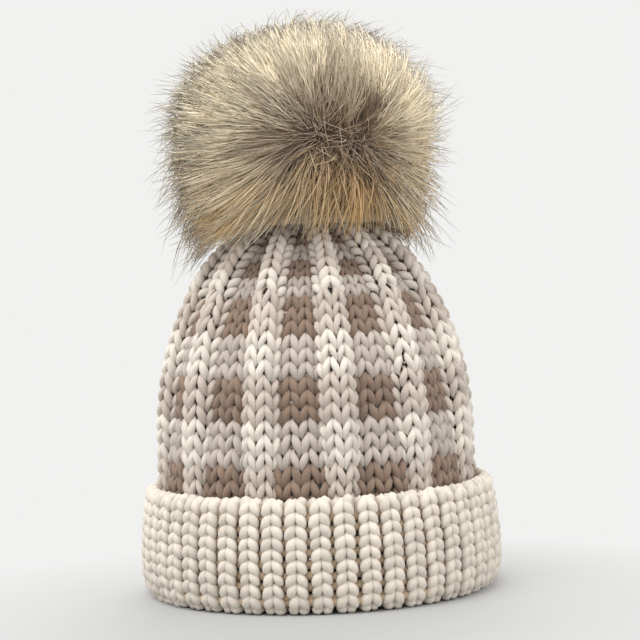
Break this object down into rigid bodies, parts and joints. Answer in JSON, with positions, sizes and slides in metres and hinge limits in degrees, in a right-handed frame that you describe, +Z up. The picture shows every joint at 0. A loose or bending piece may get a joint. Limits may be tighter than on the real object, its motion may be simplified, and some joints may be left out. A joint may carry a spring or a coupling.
{
  "type": "pom pom beanie",
  "caption": "Chunky knitted winter beanie with a gingham check crown, turned-up ribbed cuff and a detachable faux-fur pompom on a press snap.",
  "frame": {"origin": "middle of the cuff's flat bottom edge, on the surface the hat stands on", "axes": "+Z up the hat's axis towards the pompom, front of the hat towards -Y, +X to the right seen from the front"},
  "size_m": [0.1874, 0.1874, 0.2898],
  "materials": {
    "crown_knit": "matte",
    "rib_knit": "matte",
    "cream_yarn": "matte",
    "button_plastic": "satin",
    "snap_metal": "satin",
    "spring_steel": "polished",
    "cotton_thread": "matte",
    "fur_backing": "matte",
    "fibre_fill": "matte",
    "faux_fur": "satin"
  },
  "bodies": {
    "hat": {"crown_shell": "crown_knit", "ribbed_brim": "rib_knit", "crown_cinch_yarn": "cream_yarn", "backing_button": "button_plastic", "snap_stud": "snap_metal", "stud_thread": "cotton_thread"},
    "spring_ring": {"snap_spring": "spring_steel"},
    "socket_half": {"snap_socket": "snap_metal", "socket_thread": "cotton_thread"},
    "pompom": {"thread_shank": "cotton_thread", "pompom_backing": "fur_backing", "gathering_thread": "cotton_thread", "pompom_stuffing": "fibre_fill", "pompom_fur": "faux_fur"}
  },
  "joints": [
    {"name": "pompom_release", "type": "slide", "parent": "hat", "child": "spring_ring", "axis": [0, 0, 1], "range_m": [0, 0.06]},
    {"name": "pompom_swivel", "type": "hinge", "parent": "spring_ring", "child": "socket_half", "pos_m": [0, 0, 0.2047], "axis": [0, 0, 1], "continuous": true},
    {"name": "pompom_bobble", "type": "hinge", "parent": "socket_half", "child": "pompom", "pos_m": [0, 0, 0.21064], "axis": [1, 0, 0], "range_deg": [-10, 10], "stiffness_Nm_per_rad": 0.06}
  ]
}
